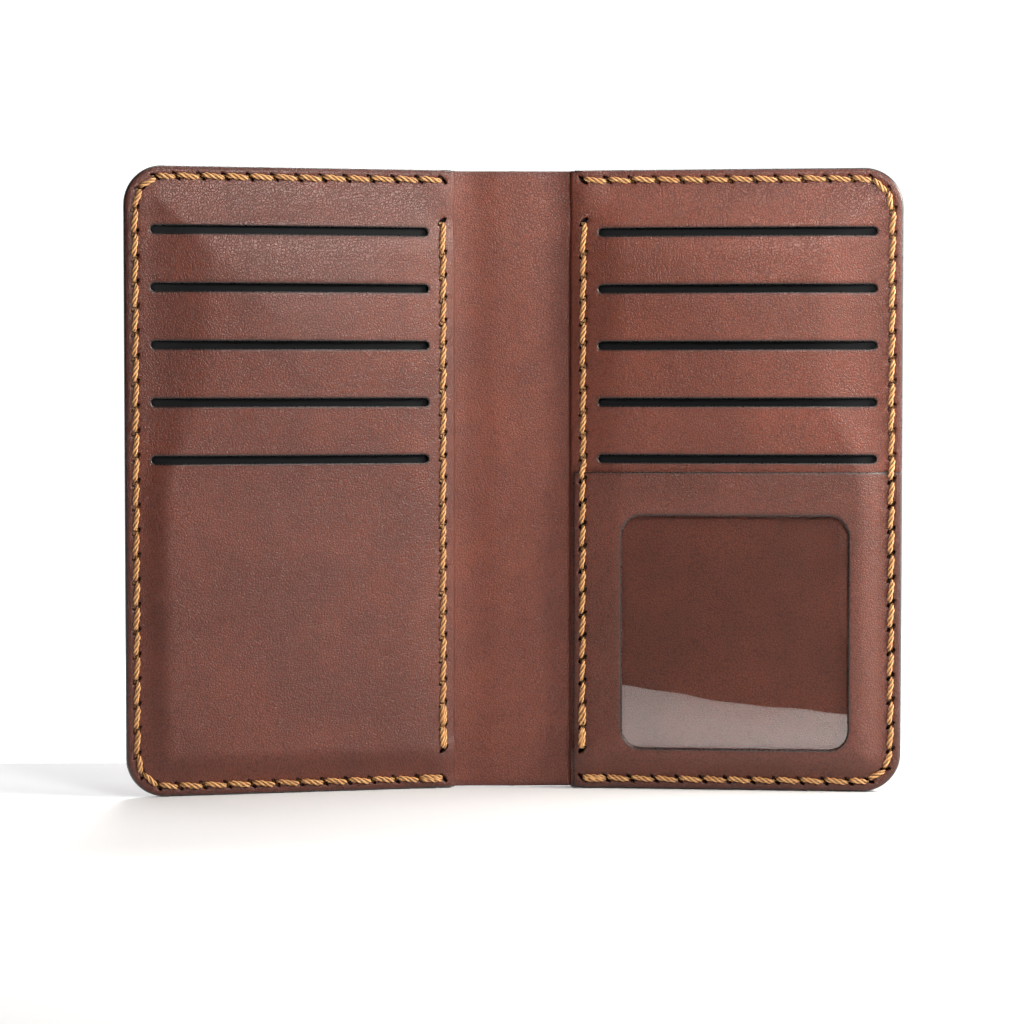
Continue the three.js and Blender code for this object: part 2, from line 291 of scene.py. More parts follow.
# -------------------------------- seams
def seam_holes():
    """Holes of the outer seam, from the top of the hem round the outer side to its bottom."""
    line = open_edge(HEM_SEAM_X - 0.2, SEAM_INSET)
    row = ROW_END - line[0, 0]
    column = HEIGHT - 2 * COLUMN_END
    corner = (lengths_along(line)[-1] - 2 * row - column) / 2
    stretches = [(row, ROW_STITCHES), (corner, CORNER_STITCHES), (column, COLUMN_STITCHES)]
    stretches += [(corner, CORNER_STITCHES), (row, ROW_STITCHES)]
    steps = np.concatenate([np.full(count, length / count) for length, count in stretches])
    return points_at(line, np.r_[0, np.cumsum(steps)])[::-1]


EDGE_HOLES = seam_holes()
HEM_HOLE_HEIGHTS = [
    HEM_SEAM_TOP,
    *np.linspace(HEM_SEAM_TOP - FIRST_HEM_STITCH, HEM_SEAM_BOTTOM, HEM_STITCHES + 1),
]
HEM_HOLES = np.array([[HEM_SEAM_X, z] for z in HEM_HOLE_HEIGHTS])


def right_of(ahead, side):
    """Unit vector to the right of a direction, as the reader sees it."""
    return np.array([ahead[1], -ahead[0]]) * side.sign


def hole_loops(holes, side, size):
    """A slanted slit at each hole of a seam."""
    length, width = size
    turn = np.radians(np.arange(0, 360, 30))
    loops = []
    ahead = np.gradient(holes, axis=0)
    for centre, way in zip(holes, ahead, strict=True):
        way = way / np.linalg.norm(way)
        long_way = way + right_of(way, side)
        long_way /= np.linalg.norm(long_way)
        cross_way = np.array([-long_way[1], long_way[0]])
        lengthwise = centre + np.outer(np.cos(turn) * length, long_way)
        loops.append(lengthwise + np.outer(np.sin(turn) * width, cross_way))
    return loops


# -------------------------------- relief of each layer
def dip_across(gap):
    """Share of a seam's dip at a distance from its line."""
    return np.exp(-((gap / SEAM_DIP_WIDTH) ** 2))


def outer_seam_dip(x, z):
    return dip_across(inside(x, z) - SEAM_INSET) * smooth(x, HEM_SEAM_X - 3, HEM_SEAM_X)


def seam_dip(x, z):
    """The sunk line that the seams pull into the leather."""
    x, z = np.asarray(x, float), np.asarray(z, float)
    run = smooth(z, HEM_SEAM_BOTTOM - 2, HEM_SEAM_BOTTOM) * (1 - smooth(z, HEM_SEAM_TOP, HEM_SEAM_TOP + 2))
    return np.maximum(outer_seam_dip(x, z), dip_across(x - HEM_SEAM_X) * run)


def edge_roll(x, z):
    """How far a face rolls down at the painted edge."""
    return EDGE_ROLL * np.clip(1 - inside(x, z) / EDGE_ROLL_WIDTH, 0, 1) ** 2


def across_bell(x):
    """0 at the hem and at the outer edge, 1 in the middle of the width."""
    return np.sin(np.pi * np.clip((np.asarray(x, float) - HEM) / (OUTER_EDGE - HEM), 0, 1)) ** 0.8


def hem_lift(x):
    """How far the turned-back hem lifts the border that is sewn down."""
    return 0.55 * (1 - smooth(x, HEM + 6, HEM + 14))


def panel_face(x, z):
    """Front of the inner panel: sewn down at the border, and raised over the cards behind it."""
    x, z = np.asarray(x, float), np.asarray(z, float)
    d = inside(x, z)
    bell = across_bell(x)
    swell = SWELL * bell * smooth(d, 4, 56) * smooth(z, 92, 148)
    lift = hem_lift(x) * (1 - smooth(d, 4, 16))
    drop = HEM_DROP * (1 - smooth(x, HEM, HEM + 18)) * smooth(d, 8, 20)
    drop = drop + HEM_ROLL * np.clip(1 - (x - HEM) / 4.6, 0, 1) ** 1.5
    reach = 14 + 14 * smooth(z, 95, 135)
    rise = (PANEL_RISE + BULGE * bell) * smooth((d - 4) / (reach - 4), 0, 1)
    return BORDER_FACE + rise + swell + lift - drop - SEAM_DIP * seam_dip(x, z) - edge_roll(x, z)


def panel_thickness(x, z):
    """One layer in the middle, thicker where the hem is turned back and where the edge is glued."""
    d = inside(x, z)
    hem = 1.05 * (1 - smooth(x, HEM + HEM_WIDTH - 0.6, HEM + HEM_WIDTH)) * smooth(d, 4, 9)
    glued = BORDER_FACE - LEATHER - COVER_HALF - GLUE_LINE
    glue = (panel_face(x, z) - BORDER_FACE + glued) * (1 - smooth(d, *GLUED_BORDER))
    return LEATHER + np.maximum(hem, np.maximum(glue, -0.35))


def pocket_face(x, z):
    """Face of the ID pocket: it follows the panel, and its mouth stands a little open."""
    x, z = np.asarray(x, float), np.asarray(z, float)
    d = inside(x, z)
    bell = np.sin(np.pi * np.clip((x - POCKET_LEFT) / (OUTER_EDGE - POCKET_LEFT), 0, 1))
    mouth = 0.3 * smooth(z, POCKET_TOP - 30, POCKET_TOP) * bell
    lift = POCKET_LIFT + 0.75 * smooth(d, 4.5, 10)
    lip = 0.22 * np.clip(1 - (POCKET_TOP - z) / 1.1, 0, 1) ** 2
    return panel_face(x, z) + lift + mouth - lip


def pocket_thickness(x, z):
    glued = POCKET_LIFT - GLUE_LINE
    near_edge = 1 - smooth(inside(x, z), *GLUED_BORDER)
    return LEATHER + (glued - LEATHER) * near_edge


def cover_front(x, z):
    return COVER_HALF - 0.25 * edge_roll(x, z)


def cover_thickness(x, z):
    return 2 * COVER_HALF - 0.3 * outer_seam_dip(x, z) - edge_roll(x, z)


def crease_bend(x, z):
    """Share of the side's lean at a point of the cover: 0 on the spine, 1 on the side."""
    return smooth(x, CREASE_ON_SPINE, CREASE_ON_SIDE)


# -------------------------------- sheets
def distance_to_loops(points, loops):
    """Distance from each point to the nearest side of any loop."""
    nearest = np.full(len(points), 1e9)
    for loop in loops:
        start, stop = loop, np.roll(loop, -1, axis=0)
        side = stop - start
        squared = np.maximum((side**2).sum(1), 1e-12)
        low, high = loop.min(0) - 6, loop.max(0) + 6
        near = np.flatnonzero(((points > low) & (points < high)).all(1))
        for part in np.array_split(near, max(1, len(near) * len(loop) // 2_000_000 + 1)):
            offset = points[part, None, :] - start[None]
            t = np.clip((offset * side).sum(2) / squared, 0, 1)
            gap = np.linalg.norm(offset - t[..., None] * side, axis=2).min(1)
            nearest[part] = np.minimum(nearest[part], gap)
    return nearest


def within(points, loop):
    """True for each point inside a loop."""
    result = np.zeros(len(points), bool)
    at = np.flatnonzero(((points >= loop.min(0)) & (points <= loop.max(0))).all(1))
    x, y = points[at, 0], points[at, 1]
    odd = np.zeros(len(at), bool)
    for (ax, ay), (bx, by) in zip(loop, np.roll(loop, -1, axis=0), strict=True):
        if ay == by:
            continue
        crosses = (ay > y) != (by > y)
        odd ^= crosses & (x < (bx - ax) * (y - ay) / (by - ay) + ax)
    result[at] = odd
    return result


def outward(loop):
    """Unit normals of an anticlockwise loop, lengthened at its corners so that an offset keeps its width."""
    before = loop - np.roll(loop, 1, axis=0)
    after = np.roll(loop, -1, axis=0) - loop
    turned = []
    for way in (before, after):
        turned.append(np.stack([way[:, 1], -way[:, 0]], axis=1) / np.linalg.norm(way, axis=1)[:, None])
    middle = turned[0] + turned[1]
    middle /= np.linalg.norm(middle, axis=1)[:, None]
    return middle / np.clip((middle * turned[0]).sum(1), 0.5, 1)[:, None]


def free_points(outline, inner, spacing, guides):
    """Points of a sheet off its edges: a grid, and the guides, which push the grid aside.

    inner is the outline and the holes, drawn in by their rounding."""
    low, high = outline.min(0), outline.max(0)
    xs = np.arange(low[0], high[0], spacing)
    zs = np.arange(low[1], high[1], spacing * 0.87)
    grid = np.stack(np.meshgrid(xs, zs), axis=-1)
    grid[1::2, :, 0] += spacing / 2
    grid = grid.reshape(-1, 2)
    if guides:
        lines = np.concatenate(guides)
        gap = np.full(len(grid), 1e9)
        for part in np.array_split(np.arange(len(grid)), 40):
            gap[part] = np.linalg.norm(grid[part, None] - lines[None], axis=2).min(1)
        grid = np.concatenate([grid[gap > 0.45 * spacing], lines])
    keep = within(grid, inner[0]) & (distance_to_loops(grid, [inner[0]]) > 0.35)
    for loop in inner[1:]:
        keep &= ~within(grid, loop[::-1])
    keep &= distance_to_loops(grid, inner[1:]) > 0.28
    return grid[keep]


def triangulate(name, inner, free):
    """All the points of a sheet, and its triangles, anticlockwise."""
    flat = np.concatenate([*inner, free])
    edges = []
    start = 0
    for loop in inner:
        count = len(loop)
        edges += [(start + i, start + (i + 1) % count) for i in range(count)]
        start += count
    made = delaunay_2d_cdt([Vector(p) for p in flat.tolist()], edges, [], 0, 1e-7)
    if len(made[0]) != len(flat):
        raise ValueError(f"{name}: edges cross, {len(made[0])} points from {len(flat)}")
    triangles = np.array([tuple(f) for f in made[2]], int)
    centres = flat[triangles].mean(1)
    keep = within(centres, inner[0])
    for loop in inner[1:]:
        keep &= ~within(centres, loop[::-1])
    triangles = triangles[keep]
    a, b, c = (flat[triangles[:, k]] for k in range(3))
    turned = np.cross(b - a, c - a) < 0
    triangles[turned] = triangles[turned][:, ::-1]
    return flat, triangles


def sheet_mesh(name, side, outline, holes, face, thickness, rounding, material, spacing=1.7, guides=(),
               bend=None, painted=(), paint_width=0.1, pricked=(), rings=5):
    """A sheet of leather or film with real holes and round edges, as one closed mesh.

    face and thickness give the front and the thickness at a point, rounding the radius of an edge.
    guides are lines whose points are kept, where the relief is fine. painted are the loops and
    lines with painted rims that wide, besides the outline of the side, and pricked the stitch holes, round
    which the leather gets painted shade."""
    loops = [outline] + [hole[::-1] for hole in holes]
    normals = [outward(outline)] + [-outward(hole)[::-1] for hole in holes]
    radii = [np.broadcast_to(rounding(loop[:, 0], loop[:, 1]), len(loop)) for loop in loops]
    inner = []
    for loop, normal, radius in zip(loops, normals, radii, strict=True):
        inner.append(loop - normal * radius[:, None])
    flat, triangles = triangulate(name, inner, free_points(outline, inner, spacing, guides))

    front = face(flat[:, 0], flat[:, 1])
    thick = thickness(flat[:, 0], flat[:, 1])
    count = len(flat)
    points = [np.column_stack([flat, front]), np.column_stack([flat, front - thick])]
    faces = [triangles, triangles[:, ::-1] + count]
    total = 2 * count
    start = 0
    quads = []
    for loop, normal, radius in zip(inner, normals, radii, strict=True):
        size = len(loop)
        index = np.arange(size)
        after = (index + 1) % size
        ring_before = start + index
        for k in range(1, rings + 1):
            turn = math.pi * k / (rings + 1)
            spot = loop + normal * (radius * math.sin(turn))[:, None]
            depth = front[start:start + size] - thick[start:start + size] * (1 - math.cos(turn)) / 2
            points.append(np.column_stack([spot, depth]))
            ring_after = total + index
            quads.append(np.stack([ring_before, ring_after, ring_after[after], ring_before[after]], axis=1))
            ring_before = ring_after
            total += size
        ring_after = count + start + index
        quads.append(np.stack([ring_before, ring_after, ring_after[after], ring_before[after]], axis=1))
        start += size
    points = np.concatenate(points)
    rim = distance_to_loops(points[:, :2], painted) / paint_width
    # Distance to the stitch holes, for the painted shade round them.
    prick = distance_to_loops(points[:, :2], pricked)
    share = 1.0 if bend is None else bend(points[:, 0], points[:, 1])
    corners = [corner for group in faces + quads for corner in group.tolist()]
    x, z, depth = points.T
    obj = mesh_object(name, place(side, x, z, depth, share), corners, side.sign < 0, material)
    rest = np.column_stack([side.crease + side.sign * x, depth, z])
    add_attributes(obj, rest=rest, edge=inside(x, z), rim=np.minimum(rim, 30), prick=np.minimum(prick, 6))
    return obj


def mesh_object(name, points, faces, flip, material, sharp=50):
    """A smooth-shaded mesh object. flip turns its faces over, for a mirrored side."""
    if flip:
        faces = [face[::-1] for face in faces]
    mesh = bpy.data.meshes.new(name)
    mesh.from_pydata(np.asarray(points).tolist(), [], faces)
    mesh.validate()
    mesh.polygons.foreach_set("use_smooth", np.ones(len(mesh.polygons), bool))
    mesh.set_sharp_from_angle(angle=math.radians(sharp))
    mesh.materials.append(material)
    obj = bpy.data.objects.new(name, mesh)
    bpy.context.scene.collection.objects.link(obj)
    return obj


def add_attributes(obj, **values):
    """Stores numbers or vectors on the points, for the material to read."""
    for name, value in values.items():
        value = np.asarray(value, np.float32)
        if value.ndim == 2:
            layer = obj.data.attributes.new(name, "FLOAT_VECTOR", "POINT")
            layer.data.foreach_set("vector", value.ravel())
        else:
            layer = obj.data.attributes.new(name, "FLOAT", "POINT")
            layer.data.foreach_set("value", value)


# -------------------------------- materials
class Nodes:
    """Short names for building a tree of nodes."""

    def __init__(self, tree):
        self.tree = tree

    def feed(self, socket, value):
        """Links a socket to the output of another node, or sets it to a constant."""
        if isinstance(value, bpy.types.NodeSocket):
            self.tree.links.new(value, socket)
        else:
            socket.default_value = value

    def node(self, kind, settings=None, **inputs):
        """A new node. Its inputs are given by name, or as i0, i1 and so on by number."""
        made = self.tree.nodes.new("ShaderNode" + kind)
        for key, value in (settings or {}).items():
            setattr(made, key, value)
        for key, value in inputs.items():
            numbered = key[0] == "i" and key[1:].isdigit()
            self.feed(made.inputs[int(key[1:]) if numbered else key.replace("_", " ")], value)
        return made

    def attribute(self, name, part="Vector"):
        return self.node("Attribute", {"attribute_name": name}).outputs[part]

    def math(self, operation, a, b=0.0, c=0.0):
        return self.node("Math", {"operation": operation}, i0=a, i1=b, i2=c).outputs[0]

    def ramp(self, value, low, high, to_low=0.0, to_high=1.0):
        """A smooth step from to_low to to_high, as the value goes from low to high."""
        settings = {"interpolation_type": "SMOOTHSTEP"}
        return self.node("MapRange", settings, i0=value, i1=low, i2=high, i3=to_low, i4=to_high).outputs[0]

    def mix(self, factor, a, b):
        made = self.node("Mix", {"data_type": "RGBA"})
        for index, value in ((0, factor), (6, a), (7, b)):
            self.feed(made.inputs[index], value)
        return made.outputs[2]

    def noise(self, vector, scale, detail=2.0, rough=0.5, part="Fac"):
        made = self.node("TexNoise", None, Vector=vector, Scale=scale, Detail=detail, Roughness=rough)
        return made.outputs[part]


class Recipe(Nodes):
    """The nodes of one material."""

    def __init__(self, name):
        self.material = bpy.data.materials.new(name)
        self.material.use_nodes = True
        super().__init__(self.material.node_tree)
        self.tree.nodes.clear()
        self.output = self.tree.nodes.new("ShaderNodeOutputMaterial")

    def finish(self, shader):
        self.tree.links.new(shader.outputs[0], self.output.inputs["Surface"])
        return self.material


PAINT_BLACK = (0.012, 0.011, 0.011, 1)


def leather(name, light, dark):
    """Satin pebbled leather, with black paint on its cut edges, burnished edges and slot rims, and painted
    shade in its grain's creases and round its stitch holes.
    """
    r = Recipe(name)
    rest = r.attribute("rest")
    edge = r.attribute("edge", "Fac")
    rim = r.attribute("rim", "Fac")
    prick = r.attribute("prick", "Fac")
    wander = r.noise(rest, 0.6, 2.0, part="Color")
    moved = r.node("VectorMath", {"operation": "MULTIPLY_ADD"}, i0=wander, i1=(1.3, 1.3, 1.3), i2=rest)
    cells = {"feature": "DISTANCE_TO_EDGE"}
    pebble = r.node("TexVoronoi", cells, Vector=moved.outputs[0], Scale=1.1, Randomness=1.0)
    crease = r.ramp(pebble.outputs["Distance"], 0.0, 0.2)
    fine = r.noise(rest, 2.6, 3.0, 0.6)
    folds = r.noise(rest, 0.3, 3.0, 0.55)
    mottle = r.noise(rest, 0.03, 3.0, 0.55)
    blotch = r.noise(rest, 0.12, 3.0, 0.6)
    tone = r.math("ADD", r.math("MULTIPLY", mottle, 0.75), r.math("MULTIPLY", blotch, 0.25))
    colour = r.mix(r.ramp(tone, 0.34, 0.66), dark, light)
    # Painted shade, partly also the dye that gathers there: the creases of the grain are darkened towards a
    # deep tone.
    grain_crease_shade = r.math("ADD", r.math("MULTIPLY", crease, 0.55), r.math("MULTIPLY", fine, 0.55))
    deep = tuple(0.35 * v for v in dark[:3]) + (1,)
    colour = r.mix(r.ramp(grain_crease_shade, 0.3, 0.85, 0.6, 0.0), colour, deep)
    waver = r.math("MULTIPLY", r.math("SUBTRACT", r.noise(rest, 0.8, 2.0), 0.5), 0.35)
    # Edges and slot rims are darkened as burnished leather, and a ring round each stitch hole as painted
    # shade of the hole.
    burnish_and_hole_shade = r.math("MAXIMUM", r.ramp(edge, 0.9, 3.0, 0.45, 0.0), r.ramp(rim, 1.0, 4.0, 0.5, 0.0))
    burnish_and_hole_shade = r.math("MAXIMUM", burnish_and_hole_shade, r.ramp(prick, 0.05, 0.5, 0.85, 0.0))
    colour = r.mix(burnish_and_hole_shade, colour, deep)
    side_paint = r.ramp(r.math("ADD", edge, waver), 0.42, 0.58, 1.0, 0.0)
    rim_paint = r.ramp(r.math("ADD", rim, r.math("MULTIPLY", waver, 1.5)), 0.7, 1.2, 1.0, 0.0)
    painted = r.math("MAXIMUM", side_paint, rim_paint)
    colour = r.mix(painted, colour, PAINT_BLACK)
    height = r.math("ADD", r.math("MULTIPLY", crease, 0.7), r.math("MULTIPLY", fine, 0.7))
    height = r.math("ADD", height, r.math("MULTIPLY", folds, 0.9))
    height = r.math("MULTIPLY", height, r.ramp(painted, 0.0, 1.0, 1.0, 0.25))
    bump = r.node("Bump", None, Strength=1.0, Distance=0.00010, Height=height)
    rough = r.ramp(r.math("ADD", crease, fine), 0.4, 1.6, 0.50, 0.36)
    rough = r.math("SUBTRACT", rough, r.math("MULTIPLY", painted, 0.10))
    shader = r.node("BsdfPrincipled", None, Base_Color=colour, Roughness=rough, Normal=bump.outputs[0])
    shader.inputs["Specular IOR Level"].default_value = 0.54
    shader.inputs["Specular Tint"].default_value = (1, 0.95, 0.92, 1)
    return r.finish(shader)


def edge_paint(name):
    """Black edge paint, smooth with faint waves."""
    r = Recipe(name)
    rest = r.attribute("rest")
    wave = r.noise(rest, 0.5, 3.0, 0.6)
    fine = r.noise(rest, 2.5, 2.0)
    colour = r.mix(r.ramp(wave, 0.3, 0.7), (0.010, 0.009, 0.009, 1), (0.028, 0.022, 0.020, 1))
    height = r.math("ADD", wave, r.math("MULTIPLY", fine, 0.3))
    bump = r.node("Bump", None, Strength=0.5, Distance=0.0001, Height=height)
    rough = r.ramp(wave, 0.2, 0.8, 0.22, 0.36)
    shader = r.node("BsdfPrincipled", None, Base_Color=colour, Roughness=rough, Normal=bump.outputs[0])
    shader.inputs["Specular IOR Level"].default_value = 0.9
    return r.finish(shader)


def thread_material(name):
    """Waxed thread: golden fibres that run along each ply, with painted shade in the crevices between the
    plies.
    """
    r = Recipe(name)
    fibre = r.attribute("fibre")
    tone = r.attribute("tone", "Fac")
    streak = r.noise(fibre, 1.0, 3.0, 0.65)
    wide = r.noise(fibre, 0.25, 2.0, 0.5)
    colour = r.mix(r.ramp(streak, 0.3, 0.72), (0.36, 0.135, 0.032, 1), (0.90, 0.52, 0.20, 1))
    colour = r.mix(r.math("MULTIPLY", r.ramp(wide, 0.35, 0.7), 0.4), colour, (0.56, 0.25, 0.065, 1))
    colour = r.mix(r.math("MULTIPLY", tone, 0.3), colour, (0.42, 0.175, 0.042, 1))
    # Painted shade where the plies press together, from the sunk share.
    deep = r.attribute("sunk", "Fac")
    colour = r.mix(deep, colour, (0.05, 0.017, 0.005, 1))
    bump = r.node("Bump", None, Strength=0.8, Distance=0.00005, Height=streak)
    rough = r.ramp(streak, 0.2, 0.8, 0.62, 0.42)
    shader = r.node("BsdfPrincipled", None, Base_Color=colour, Roughness=rough, Normal=bump.outputs[0])
    shader.inputs["Sheen Weight"].default_value = 0.15
    return r.finish(shader)


def black_cloth(name):
    """Plain woven black lining cloth."""
    r = Recipe(name)
    rest = r.attribute("rest")
    split = r.node("SeparateXYZ", None, i0=rest)
    turn_per_mm = 2 * math.pi / CLOTH_PITCH
    warp = r.math("SINE", r.math("MULTIPLY", split.outputs[0], turn_per_mm))
    weft = r.math("SINE", r.math("MULTIPLY", split.outputs[2], turn_per_mm))
    weave = r.math("MULTIPLY", warp, weft)
    fuzz = r.noise(rest, 2.2, 3.0, 0.6)
    colour = r.mix(r.ramp(fuzz, 0.3, 0.75), (0.0025, 0.0025, 0.003, 1), (0.010, 0.0105, 0.0115, 1))
    height = r.math("ADD", weave, fuzz)
    bump = r.node("Bump", None, Strength=0.6, Distance=0.00008, Height=height)
    rough = r.ramp(fuzz, 0.3, 0.7, 0.75, 0.95)
    shader = r.node("BsdfPrincipled", None, Base_Color=colour, Roughness=rough, Normal=bump.outputs[0])
    shader.inputs["Specular IOR Level"].default_value = 0.3
    return r.finish(shader)


def clear_film(name):
    """Clear flexible film with faint haze and scratches."""
    r = Recipe(name)
    rest = r.attribute("rest")
    haze = r.noise(rest, 0.12, 3.0, 0.6)
    fine = r.noise(rest, 1.4, 3.0, 0.7)
    rough = r.ramp(r.math("ADD", haze, r.math("MULTIPLY", fine, 0.3)), 0.4, 0.9, 0.0, 0.02)
    gloss = r.node("BsdfGlossy", None, Roughness=rough)
    clear = r.node("BsdfTransparent", None, Color=(0.97, 0.965, 0.96, 1))
    facing = r.node("LayerWeight", None, Blend=0.5).outputs["Facing"]
    share = r.math("MULTIPLY_ADD", r.math("POWER", facing, 4.0), 0.5, 0.095)
    mixed = r.node("MixShader", None, i0=share, i1=clear.outputs[0], i2=gloss.outputs[0])
    return r.finish(mixed)


COVER_LEATHER = leather("cover_leather", (0.180, 0.039, 0.019, 1), (0.132, 0.027, 0.013, 1))
# The left panel takes a darker copy of the same leather as the right one, as painted shade.
PANEL_LEATHER = {
    "left": leather("panel_leather_left_shaded", (0.138, 0.030, 0.015, 1), (0.099, 0.021, 0.011, 1)),
    "right": leather("panel_leather_right", (0.174, 0.037, 0.018, 1), (0.126, 0.026, 0.012, 1)),
}
# A darker copy of the panel leather, as painted shade on the ID pocket.
POCKET_LEATHER = leather("pocket_leather", (0.131, 0.029, 0.015, 1), (0.093, 0.020, 0.009, 1))
EDGE_PAINT = edge_paint("edge_paint")
THREAD_GOLD = thread_material("thread_gold")
CLOTH = black_cloth("black_cloth")
FILM = clear_film("clear_film")


# -------------------------------- leather pieces
def seam_guides(hem_seam):
    """Lines of points beside the seams, where the leather dips."""
    lines = []
    for shift in (-1.5, -1.0, -0.55, 0.0, 0.55, 1.0, 1.5):
        lines.append(resample(open_edge(HEM_SEAM_X - 2, SEAM_INSET + shift), 1.3))
        if hem_seam:
            run = [[HEM_SEAM_X + shift, HEM_SEAM_BOTTOM - 2], [HEM_SEAM_X + shift, HEM_SEAM_TOP + 2]]
            lines.append(resample(run, 1.3))
    return lines


def edge_guides(left):
    """Lines of points beside the edge, where the face rolls down."""
    return [resample(open_edge(left, EDGE_INSET + shift), 1.4) for shift in (0.75, 1.2, 1.75)]


def even(value):
    """A thickness or a rounding that is the same everywhere."""
    return lambda x, z: np.full(np.shape(x), value)


def stitch_slits(side):
    """The slits of both seams of a side."""
    return hole_loops(EDGE_HOLES, side, SLIT) + hole_loops(HEM_HOLES, side, SLIT)


def panel_rounding(x, z):
    """The hem is a full roll, slots and outer edges are nearly square."""
    return 0.28 + 0.75 * (1 - smooth(x, HEM + 1.2, HEM + 1.9))


def make_cover(side):
    """Half of the one-piece cover, from the middle of the spine to the outer edge."""
    middle = -abs(side.crease)

    def rounding(x, z):
        """Square where the two halves meet, and nearly square at the edge."""
        return np.where(np.asarray(x) < middle + 0.01, 1e-4, 0.3)

    cover = sheet_mesh(
        f"cover_{side.name}", side, closed_outline(middle, EDGE_INSET), [],
        cover_front, cover_thickness, rounding, COVER_LEATHER,
        spacing=2.2, guides=seam_guides(False) + edge_guides(middle + 1), bend=crease_bend,
        # The cover has no holes: the dark mark at each is painted shade of a hole.
        pricked=hole_loops(EDGE_HOLES, side, PRICK_MARK),
    )
    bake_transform(cover)
    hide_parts(f"outer_cover_{side.name}", "outer_cover_spine")


def make_panel(side):
    """Inner panel with its card slots, rolled hem and stitch holes."""
    slots = slot_loops()
    slits = stitch_slits(side)
    panel = sheet_mesh(
        f"panel_{side.name}", side, closed_outline(HEM, EDGE_INSET), slots + slits,
        panel_face, panel_thickness, panel_rounding, PANEL_LEATHER[side.name],
        guides=seam_guides(True) + edge_guides(HEM + 1.5),
        painted=slots, paint_width=0.4, pricked=slits, rings=6,
    )
    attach(panel, side.body)
    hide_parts(f"inner_panel_{side.name}")


def make_pocket(side):
    """Leather frame of the ID pocket, with its window."""
    outline = closed_outline(POCKET_LEFT, EDGE_INSET, POCKET_TOP)
    window = window_loop()
    slits = [loop for loop in stitch_slits(side) if loop[:, 1].max() < POCKET_TOP - 0.9]
    lines = seam_guides(True) + edge_guides(POCKET_LEFT + 1)
    guides = [line[line[:, 1] < POCKET_TOP - 1] for line in lines]
    for level in (POCKET_TOP - 0.7, POCKET_TOP - 1.2):
        guides.append(resample([[POCKET_LEFT, level], [OUTER_EDGE, level]], 1.4))
    inner_edge = outline[outline[:, 0] < POCKET_LEFT + 0.1]
    mouth_edge = outline[outline[:, 1] > POCKET_TOP - 0.1]
    pocket = sheet_mesh(
        "id_pocket", side, outline, [window, *slits],
        pocket_face, pocket_thickness, even(0.3), POCKET_LEATHER, guides=guides,
        painted=[window, inner_edge, mouth_edge], paint_width=0.45, pricked=slits,
    )
    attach(pocket, side.body)
    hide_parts("id_pocket_frame")


def film_face(x, z):
    """The film hangs just behind the frame, and bows back a little above its foot."""
    x, z = np.asarray(x, float), np.asarray(z, float)
    across = np.clip((x - WINDOW_LEFT) / WINDOW_WIDTH, 0, 1)
    bow = (0.20 + 0.42 * across) * smooth(z, WINDOW_BOTTOM - 2, 52)
    wave = 0.010 * np.sin(x / 7.0 + z / 17.0) + 0.004 * np.sin(x / 3.1 - z / 11.0)
    hung = BORDER_FACE + PANEL_RISE + BULGE * across_bell(x) + FILM_GAP - bow + wave
    highest = pocket_face(x, np.minimum(z, POCKET_TOP - 1.2)) - LEATHER - 0.06
    return np.clip(hung, panel_face(x, z) + 0.05, highest)


def make_film(side):
    """Clear film behind the window of the ID pocket."""
    right = WINDOW_LEFT + WINDOW_WIDTH + FILM_MARGIN
    outline = rounded_loop(
        WINDOW_LEFT - FILM_MARGIN, right, WINDOW_BOTTOM - FILM_MARGIN, POCKET_TOP - FILM_MARGIN, 1.0, 2.0, 3
    )
    film = sheet_mesh(
        "id_film", side, outline, [], film_face, even(FILM_THICKNESS), even(0.05), FILM, spacing=2.0, rings=1
    )
    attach(film, side.body)
    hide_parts("id_window_film")


# -------------------------------- painted edges
def make_edge_coat(side):
    """The painted edge that closes the sewn layers: a round bead along top, outer side and bottom."""
    sunk = 0.52      # the bead ends this far below the faces
    bulge = 0.62
    path = open_edge(HEM + 1.3, 0.0)
    ahead = np.gradient(path, axis=0)
    normal = np.stack([ahead[:, 1], -ahead[:, 0]], axis=1)
    normal /= np.linalg.norm(normal, axis=1)[:, None]
    face = BORDER_FACE + hem_lift(path[:, 0])
    if side.has_pocket:
        face = face + POCKET_LIFT * (1 - smooth(path[:, 1], POCKET_TOP - 0.6, POCKET_TOP + 0.2))
    top = face - sunk
    bottom = np.full(len(path), -COVER_HALF + sunk)
    middle, half = (top + bottom) / 2, (top - bottom) / 2
    turns = np.radians(np.linspace(90, -90, 9))
    ring = [(-bulge + bulge * math.cos(turn) ** 0.8, math.sin(turn)) for turn in turns]
    ring = [(-1.0, 0.9), *ring, (-1.0, -0.9)]
    loops = []
    for out, height in ring:
        spot = path + normal * out
        loops.append(np.column_stack([spot, middle + half * height]))
    points = np.stack(loops, axis=1).reshape(-1, 3)
    size = len(ring)
    faces = []
    for i in range(len(path) - 1):
        for k in range(size):
            a, b = i * size + k, i * size + (k + 1) % size
            faces.append([a, b, b + size, a + size])
    faces.append(list(range(size))[::-1])
    faces.append([(len(path) - 1) * size + k for k in range(size)])
    x, z, depth = points.T
    coat = mesh_object(f"edge_coat_{side.name}", place(side, x, z, depth), faces, side.sign > 0, EDGE_PAINT)
    add_attributes(coat, rest=np.column_stack([x, depth, z]))
    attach(coat, side.body)


